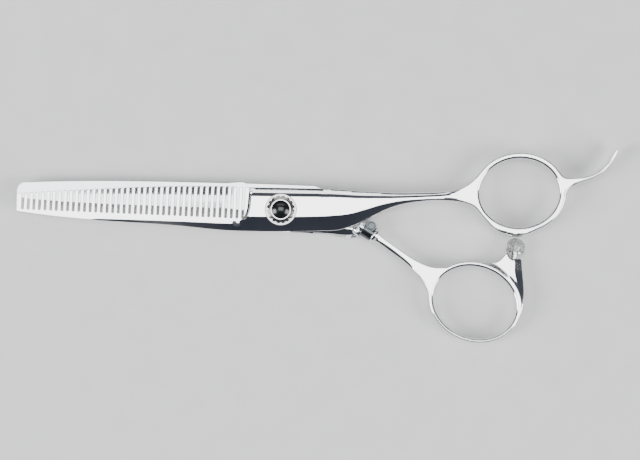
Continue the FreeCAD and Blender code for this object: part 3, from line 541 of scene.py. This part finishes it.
def toothed_forging():
    """Toothed blade, pivot plate, shank, finger ring and finger rest in one forging."""
    node = "toothed_blade"
    loops = cut_loops(node, PARTING + SECTION)
    step = 0.25
    loops = [refine(loop, step, lambda p: p[0] > 12) for loop in loops]
    loops = [soften(loop, ease(loop[:, 0], 12, 20), 18) for loop in loops]
    loops = [soften(loop, ease(loop[:, 0], 50, 56), 70) for loop in loops]
    outline = loops[0]
    holes = sorted(loops[1:], key=lambda loop: -loop[:, 0].mean())
    loops = [outline] + holes
    ring_hole = holes[0]
    ring_x, ring_y = ring_hole.mean(0)

    # heights down the middle of the forging
    shank = [(-7, 1), (12, 1), (21, 2), (28, 2.6), (34, 3.1), (40, 3.5), (46, 3.7), (50, 4.0)]
    rest = [(84.4, 8.45), (87.6, 9.45), (90.3, 11.5), (92.5, 14.3)]
    ring_spot = (ring_x - 12.1, ring_y - 1)

    def heights(side):
        ring = level(node, *ring_spot, side)
        return through([(x, level(node, x, y, side)) for x, y in shank] + [(54.5, ring), (80, ring)]
                       + [(x, level(node, x, y, side)) for x, y in rest])

    crest, under = heights(1), heights(-1)
    plate = level(node, -7, 1)
    heel = level(node, -11.5, -3.1)
    tip = level(node, -70, -0.2)
    heel_x, tip_x = -12.2, -70
    taper = (heel - tip) / (heel_x - tip_x)

    upper_edge = near_edge(outline, -8, 52, True, 3.4)
    blade_ridge_y = through([(-76, -1.7), (-52, -2.5), (-39.3, -2.9), (-27, -3.35), (-11, -3.95),
                             (-8, -3.95)])
    blade_slope = through([(-54, 0.0), (-48, 0.3), (-42, 0.6), (-11, 0.4)])
    ridge_y = through([(-9, -1.95), (5, -2.0), (13.6, -1.75), (19.5, -1.1), (23.8, 0.1), (28, 1.35),
                       (33, 2.35), (40, 2.95), (50, 3.1)])
    slope = through([(-9, 0.4), (20, 0.4), (33, 0.5), (42, 0.55), (52, 0.0)])
    facet = through([(-8, 1.0), (12, 0.95), (24, 0.8), (34, 0.62), (46, 0.55), (55, 0.55)])
    shoulder_x = through([(-4.0, -11.7), (-3.2, -10.6), (-2.4, -9.7), (-1.2, -9.0), (3.0, -8.2), (6.6, -7.9)])
    outer_facet, inner_facet = 1.45, 2.45
    inner_slope, outer_slope = 0.27, 0.38
    fillet = 0.9
    pad_wide, pad_high, pad_drop = 13.2, 11.4, 0.6      # lower land round the finger ring

    def ring_reach(points):
        return np.hypot((points[:, 0] - ring_x) / pad_wide, (points[:, 1] - ring_y) / pad_high)

    def edge_drop(points):
        outside = rounded(edge_distance(points, [outline]), width(points, False), depth(points, False))
        inner = rounded(edge_distance(points, [ring_hole]), width(points, True), depth(points, True))
        return np.maximum(outside, inner)

    def top(points):
        x, y = points.T
        blade = heel - taper * np.clip(heel_x - x, 0, None)
        front = np.clip((shoulder_x(y) - x) / fillet, 0, 1)
        flat = np.where(x > -13, plate - (plate - blade) * (1 - (1 - front) ** 2), blade)
        flat = np.where(x > -7.5, crest(x), flat)
        fall = np.where(x > -10, slope(x) * np.clip(ridge_y(x) - y, 0, None), 0)
        plane = np.where(x > -10, crest(x) - fall, blade - blade_slope(x) * (blade_ridge_y(x) - y))
        low = np.minimum(flat, plane)
        size = facet(x)
        beside = np.clip(upper_edge(x) - y, 0, None)
        fade = ease(-x, -53, -44) * (x > -8.3)
        drop = (inner_slope * np.clip(inner_facet * size - beside, 0, None)
                + (outer_slope - inner_slope) * np.clip(outer_facet * size - beside, 0, None))
        low = low - drop * fade
        pad = ease(ring_reach(points), 1.0, 1.07) * ease(-y, 3.5, 5.5) * (x > 55) * (x < 75)
        low = low - pad_drop * pad
        low = low - edge_drop(points)
        return np.where(np.hypot(x, y) < seat - 0.02, seat_floor, low)

    def floor(points):
        x = points[:, 0]
        base = np.where(x < 18, PARTING + 0.02, under(x))
        sharp = ease(x, 14, 30)
        return base + edge_drop(points) * sharp + np.where(x < -8, 0, 0.02) * (1 - sharp)

    outer_width = through([(-8, 0.13), (-7.5, 0.13), (14, 0.16), (26, 0.35), (38, 0.45), (52, 0.5),
                           (80, 0.5), (86, 0.42), (91, 0.36), (94, 0.2)])
    outer_depth = through([(-8, 0.13), (-7.5, 0.13), (14, 0.16), (26, 0.35), (38, 0.5), (52, 0.65),
                           (80, 0.65), (86, 0.5), (91, 0.4), (94, 0.2)])

    def width(points, hole):
        x = points[:, 0]
        inner = np.where(x > 40, 0.75, 0.06)
        return inner if hole else outer_width(x)

    def depth(points, hole):
        x = points[:, 0]
        inner = np.where(x > 40, 0.85, 0.06)
        return inner if hole else outer_depth(x)

    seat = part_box("seat_ring")[1].x / MM
    seat_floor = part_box("seat_ring")[0].z / MM
    angle = np.linspace(0, 2 * math.pi, 73)
    circle = np.stack([np.cos(angle), np.sin(angle)], 1)
    y = np.linspace(-3.8, 5.9, 40)
    run = np.arange(-8.4, 48, 0.5)
    low_run = np.arange(-8.8, 46, 0.5)
    blade_run = np.arange(-54, -12.9, 1.0)
    ridges = [circle * seat, circle * (seat - 0.03)]
    ridges += [np.stack([shoulder_x(y), y], 1), np.stack([shoulder_x(y) - fillet, y], 1)]
    for reach in (outer_facet, inner_facet):
        ridges.append(np.stack([run, upper_edge(run) - reach * facet(run)], 1))
    ridges += [np.stack([low_run, ridge_y(low_run)], 1), np.stack([blade_run, blade_ridge_y(blade_run)], 1)]
    lattice = [(0.5, lambda p: p[:, 0] > 12), (0.25, lambda p: (p[:, 0] > -9.4) & (p[:, 0] < -7.6)),
               (0.3, lambda p: np.abs(ring_reach(p) - 1.03) < 0.06)]
    thing = forge("toothed_forging", loops, ridges, lattice, width, top, floor)
    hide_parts(node)
    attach(thing, "finger_half")
    return thing


# ------------------------------------------------------------------ rear half

def clip(loop, start, way):
    """The part of a closed loop that lies on the far side of a line across `way` at `start`."""
    ahead = (loop - start) @ way
    kept = []
    for i, point in enumerate(loop):
        j = (i + 1) % len(loop)
        if ahead[i] > 0:
            kept.append(point)
        if (ahead[i] > 0) != (ahead[j] > 0):
            kept.append(point + (loop[j] - point) * ahead[i] / (ahead[i] - ahead[j]))
    return np.array(kept)


def heel_of_plain_blade(at_x):
    """Copy of the CAD plain blade beyond x = at_x, with the tang's lower edge ground off on top."""
    work = bmesh.new()
    work.from_mesh(frame["nodes"]["plain_blade"].data)
    bmesh.ops.remove_doubles(work, verts=work.verts, dist=1e-7)

    def everything():
        return work.verts[:] + work.edges[:] + work.faces[:]

    ended = bmesh.ops.bisect_plane(work, geom=everything(), plane_co=(at_x * MM, 0, 0),
                                   plane_no=(1, 0, 0), clear_inner=True)
    rim = [part for part in ended["geom_cut"] if isinstance(part, bmesh.types.BMEdge)]
    bmesh.ops.holes_fill(work, edges=rim)
    grinding = 0.42
    ridge, ridge_way = Vector((9.0, -4.6, 0)), Vector((12.0, -1.0, 0)).normalized()
    outwards = Vector((ridge_way.y, -ridge_way.x, 0))
    bmesh.ops.bisect_plane(work, geom=everything(), plane_co=ridge * MM, plane_no=outwards)
    bmesh.ops.triangulate(work, faces=work.faces[:])
    face = max(v.co.z for v in work.verts if v.co.x < 9 * MM and v.co.y > 0)
    for vert in work.verts:
        beyond = (vert.co / MM - ridge).dot(outwards)
        if beyond > 0.01 and vert.co.z > face - 0.9 * MM:
            ground = float(ease(vert.co.x / MM, 1.0, 6.0) * ease(-vert.co.x / MM, -21.6, -20.0))
            vert.co.z -= grinding * beyond * ground * MM
    return work


def plain_forging():
    """Plain blade with its hollow-ground inner face; the pivot end and tang follow the CAD."""
    node = "plain_blade"
    joint_x = -9.6
    face = level(node, -20, 4)
    loops = [clip(cut_loops(node, face - 0.12)[0], np.array([joint_x, 0.0]), np.array([-1.0, 0.0]))]
    loops = [refine(loop, 0.4, lambda p: p[0] < joint_x - 0.5) for loop in loops]
    tips_y = through([(-73, 4.66), (-54.2, 5.6), (-37.2, 6.39), (-11.5, 6.58)])
    edge_y = through([(-71.8, 3.26), (-62.5, 2.46), (-38.8, 1.28), (-18.7, 0.56), (-8.5, 0.1)])
    hollow = through([(-73, 0.03), (-55, 0.09), (-35, 0.14), (-12, 0.17)])
    edge_round = 0.08

    def width(points, hole):
        return np.full(len(points), edge_round)

    def top(points):
        x, y = points.T
        wide = tips_y(x) - edge_y(x)
        share = np.clip((tips_y(x) - y) / wide, 0, 1)
        ended = ease(-x, 9.8, 17.0)
        spine = rounded(edge_distance(points, loops), edge_round, edge_round) * (y > tips_y(x))
        valley = 0.51 - np.hypot(share - 0.5, 0.1)
        return face - hollow(x) * wide * np.clip(valley, 0, None) * ended - spine

    def floor(points):
        return np.array([level(node, x, y, -1) for x, y in points])

    run = np.arange(-72.5, -10.5, 0.8)
    lattice = [(0.45, lambda p: p[:, 0] < joint_x)]
    thing = forge("plain_forging", loops, [np.stack([run, tips_y(run)], 1)], lattice, width, top, floor)
    heel = heel_of_plain_blade(joint_x)
    for part in heel.faces:
        part.smooth = False
    heel.from_mesh(thing.data)
    heel.to_mesh(thing.data)
    heel.free()
    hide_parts(node)
    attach(thing, "blade_half")
    return thing


# ------------------------------------------------------------------ thumb handle

def thumb_forging():
    """Shank, thumb ring and bumper arm in one forging."""
    node = "thumb_handle"
    middle = SWIVEL.z
    base = np.array(SWIVEL.xy)
    way = np.array(SWIVEL_WAY.xy)
    side = np.array([-way[1], way[0]])
    outline, hole = cut_loops(node, middle + 0.2)[:2]
    outline = clip(outline, base + way * 0.4, way)
    screw = np.array([place / MM for place in sum(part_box("bumper_screw"), Vector()) / 2][:2])
    screw_hole = 2.42
    outline = outline[np.linalg.norm(outline - screw, axis=1) > screw_hole]
    outline, hole = (refine(loop, 0.25, lambda p: True) for loop in (outline, hole))
    along = (outline - base) @ way
    arm_tip = ease(outline[:, 1], -13.2, -12.2) * (outline[:, 0] > 60)
    outline = soften(outline, ease(along, 0.8, 2.0) * (1 - arm_tip), 70)
    hole = soften(hole, np.ones(len(hole)), 40)

    crest = through([(0.4, 1.2), (1.8, 1.15), (9, 1.2), (12.5, 1.35), (15.5, 1.6), (19.8, 2.0), (24, 2.3)])
    bevel_n = through([(0.4, -0.5), (5, -0.5), (9, -0.8), (12.5, -1.3), (15.5, -2.3), (18, -3.4)])
    bevel_slope = through([(0.4, 0.55), (12, 0.55), (18.5, 0.0)])
    ridge_x = through([(-31, 67.7), (-27, 67.5), (-23, 67.0), (-20.5, 65.95), (-18, 65.3),
                       (-15, 65.25), (-11, 65.5)])
    edge = through([(0.4, 0.3), (10, 0.4), (20, 0.5)])

    def width(points, inner):
        s = (points - base) @ way
        return np.full(len(points), 0.75) if inner else edge(s)

    def top(points):
        x, y = points.T
        s, n = (points - base) @ way, (points - base) @ side
        gap = edge_distance(points, [hole])
        low = np.minimum(crest(s), 2.3 - 0.2 * ease(gap, 1.4, 2.4) * (x > 56))
        low = low - bevel_slope(s) * np.clip(bevel_n(s) - n, 0, None) * (s < 18.5)
        right = ease(y, -33, -29.5) * (x > 60)
        low = low - 0.55 * np.clip(x - ridge_x(y), 0, None) * right
        reach = width(points, False)
        rim = rounded(edge_distance(points, [outline]), reach, reach * 1.25)
        rim = np.maximum(rim, rounded(gap, 0.75, 0.85))
        return middle + np.maximum(low - rim, 0.15)

    def floor(points):
        return 2 * middle - top(points)

    run = np.arange(-29.5, -12.6, 0.5)
    bevel_run = np.arange(1.0, 16.5, 0.5)
    ridges = [np.stack([ridge_x(run), run], 1),
              base + bevel_run[:, None] * way + bevel_n(bevel_run)[:, None] * side]
    lattice = [(0.45, lambda p: p[:, 0] > 0)]
    thing = forge("thumb_forging", [outline, hole], ridges, lattice, width, top, floor)
    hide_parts(node)
    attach(thing, "thumb")
    return thing


def swivel_place():
    """Stands a turning's axis along the swivel, in mm."""
    return Matrix.Translation(SWIVEL) @ SWIVEL_WAY.to_track_quat("Z", "Y").to_matrix().to_4x4()


def lathe(name, profile, place, body, segments=96, ring=False, notch=lambda angle: 0.0):
    """Closed turning of (height, radius) points in mm: a ring, or one that starts and ends on the axis.

    A point with a third value has notch(angle) cut from its radius."""
    verts, faces, rings = [], [], []
    angles = [2 * math.pi * k / segments for k in range(segments)]
    for height, radius, *notched in profile:
        if radius == 0:
            rings.append([len(verts)] * segments)
            verts.append((0, 0, height))
        else:
            rings.append(list(range(len(verts), len(verts) + segments)))
            reaches = [radius - (notch(a) if notched else 0) for a in angles]
            verts += [(reach * math.cos(a), reach * math.sin(a), height) for reach, a in zip(reaches, angles)]
    for low, high in zip(rings, rings[1:] + rings[:1] if ring else rings[1:]):
        for k in range(segments):
            following = (k + 1) % segments
            corners = [low[k], low[following], high[following], high[k]]
            faces.append(tuple(dict.fromkeys(corners)))
    thing = build(name, [tuple(place @ Vector(v)) for v in verts], faces)
    thing.data.polygons.foreach_set("use_smooth", [True] * len(faces))
    thing.data.set_sharp_from_angle(angle=math.radians(SHARP_ANGLE))
    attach(thing, body)
    return thing


def swivel_spindle():
    """Disc and grooved spindle at the root of the thumb handle."""
    groove_low, groove_high = -2.77, -1.73
    profile = [(-3.12, 0), (-3.12, 1.33), (-3.0, 1.45), (groove_low, 1.45), (groove_low, 1.1),
               (groove_high, 1.1), (groove_high, 1.45), (-0.55, 1.45), (-0.55, 2.02), (-0.5, 2.1),
               (-0.38, 2.15), (0.2, 2.15), (0.38, 2.08), (0.5, 1.9), (0.62, 1.55), (0.9, 1.25),
               (1.6, 1.0), (2.4, 0.8), (2.4, 0)]
    return lathe("swivel_spindle", profile, swivel_place(), "thumb")


# ------------------------------------------------------------------ dial

def notch_depth(angle):
    """Depth in mm of the round finger notches in the dial's rim."""
    count, half, deep = 16, 0.075, 0.27
    pitch = 2 * math.pi / count
    off = (angle + pitch / 2) % pitch - pitch / 2
    return deep * math.sqrt(max(0.0, 1 - (off / half) ** 2))


def dial_turning():
    """Tension dial: notched rim and a coned face that runs up to the bezel."""
    node = "tension_dial"
    low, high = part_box(node)
    rim, base = high.x / MM, low.z / MM
    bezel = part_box("cap_bezel")[1].x / MM
    bore = 1.6
    cone = 0.33
    face = high.z / MM - 0.1

    def on_cone(radius):
        return face - cone * (radius - bezel)

    profile = [(base, bore), (base, rim, 1), (on_cone(rim) - 0.1, rim, 1),
               (on_cone(rim - 0.08), rim - 0.08, 1), (on_cone(rim - 0.4), rim - 0.4),
               (on_cone(rim - 0.42) - 0.05, rim - 0.44),
               (on_cone(rim - 0.5) - 0.05, rim - 0.52), (on_cone(rim - 0.54), rim - 0.54),
               (on_cone(bezel + 0.04), bezel + 0.04), (on_cone(bezel + 0.04) - 0.05, bezel + 0.01),
               (base + 0.3, bezel + 0.01), (base + 0.3, bore)]
    thing = lathe("dial_turning", profile, Matrix(), "dial", 256, True, notch_depth)
    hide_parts(node)
    return thing


# ------------------------------------------------------------------ assembly

for node, material in NODE_FINISH.items():
    finish(frame["nodes"][node], material)
MADE = [
    (toothed_forging, BRIGHT_STEEL, "polished_steel"),
    (thumb_forging, BRIGHT_STEEL, "polished_steel"),
    (plain_forging, BLADE_STEEL, "polished_steel"),
    (swivel_spindle, BRIGHT_STEEL, "polished_steel"),
    (dial_turning, DIAL_STEEL, "chrome_trim"),
]
for make, material, slot in MADE:
    piece = make()
    finish(piece, material)


# ------------------------------------------------------------------ stage

def floor_sheet():
    """Plain pale floor with a faint paper tooth, just under the shears and clear from below."""
    half = 1.5
    z = CAD_BOX[0].z - 0.05 * MM
    data = bpy.data.meshes.new("floor")
    corners = [(-half, -half, z), (half, -half, z), (half, half, z), (-half, half, z)]
    data.from_pydata(corners, [], [(0, 1, 2, 3)])
    sheet = bpy.data.objects.new("floor", data)
    scene.collection.objects.link(sheet)
    material, tree, shader = new_material("floor_paper")
    paper = noise(tree, spot(tree), 120.0, 5.0)
    tree.links.new(ramp(tree, paper, [(0.3, 0.81), (0.7, 0.85)]), shader.inputs["Base Color"])
    shader.inputs["Roughness"].default_value = 0.9
    seen = tree.nodes.new("ShaderNodeNewGeometry")
    clear = tree.nodes.new("ShaderNodeBsdfTransparent")
    either = tree.nodes.new("ShaderNodeMixShader")
    tree.links.new(seen.outputs["Backfacing"], either.inputs["Fac"])
    tree.links.new(shader.outputs["BSDF"], either.inputs[1])
    tree.links.new(clear.outputs["BSDF"], either.inputs[2])
    tree.links.new(either.outputs["Shader"], tree.nodes["Material Output"].inputs["Surface"])
    finish(sheet, material)


def area_light(name, place, size, power):
    data = bpy.data.lights.new(name, "AREA")
    data.shape = "RECTANGLE"
    data.size, data.size_y = size
    data.energy = power
    lamp = bpy.data.objects.new(name, data)
    lamp.location = place
    lamp.rotation_euler = (-Vector(place)).to_track_quat("-Z", "Y").to_euler()
    scene.collection.objects.link(lamp)


def studio():
    """Soft box overhead, a strip behind for the upper facet, two side lamps for the pale floor."""
    area_light("overhead", (0.0, 0.10, 1.1), (0.80, 0.52), 6.2)
    area_light("back_strip", (0.0, 0.72, 0.80), (1.2, 0.16), 1.7)
    area_light("side_left", (-0.95, -0.25, 0.62), (0.55, 0.7), 14.0)
    area_light("side_right", (0.95, -0.35, 0.62), (0.55, 0.7), 12.0)
    world = bpy.data.worlds.new("studio")
    world.use_nodes = True
    tree = world.node_tree
    place = tree.nodes.new("ShaderNodeTexCoord")
    split = tree.nodes.new("ShaderNodeSeparateXYZ")
    tree.links.new(place.outputs["Generated"], split.inputs["Vector"])
    sky = ramp(tree, split.outputs["Z"], [(0.0, (0.30, 0.30, 0.31)), (0.35, (0.07, 0.075, 0.09)),
                                         (0.8, (0.035, 0.04, 0.055)), (0.96, (0.16, 0.17, 0.19))])
    tree.links.new(sky, tree.nodes["Background"].inputs["Color"])
    scene.world = world


VIEW_CENTRE = Vector((10.9, -5.7, 4.5)) * MM
VIEW_WIDTH = 178.6 * MM
CAMERA_HEIGHT = 0.60


def camera():
    """Straight above the shears."""
    data = bpy.data.cameras.new("camera")
    data.lens = data.sensor_width * CAMERA_HEIGHT / VIEW_WIDTH
    data.clip_start = 0.01
    thing = bpy.data.objects.new("camera", data)
    thing.location = VIEW_CENTRE + Vector((0, 0, CAMERA_HEIGHT))
    scene.collection.objects.link(thing)
    scene.camera = thing


floor_sheet()
studio()
camera()
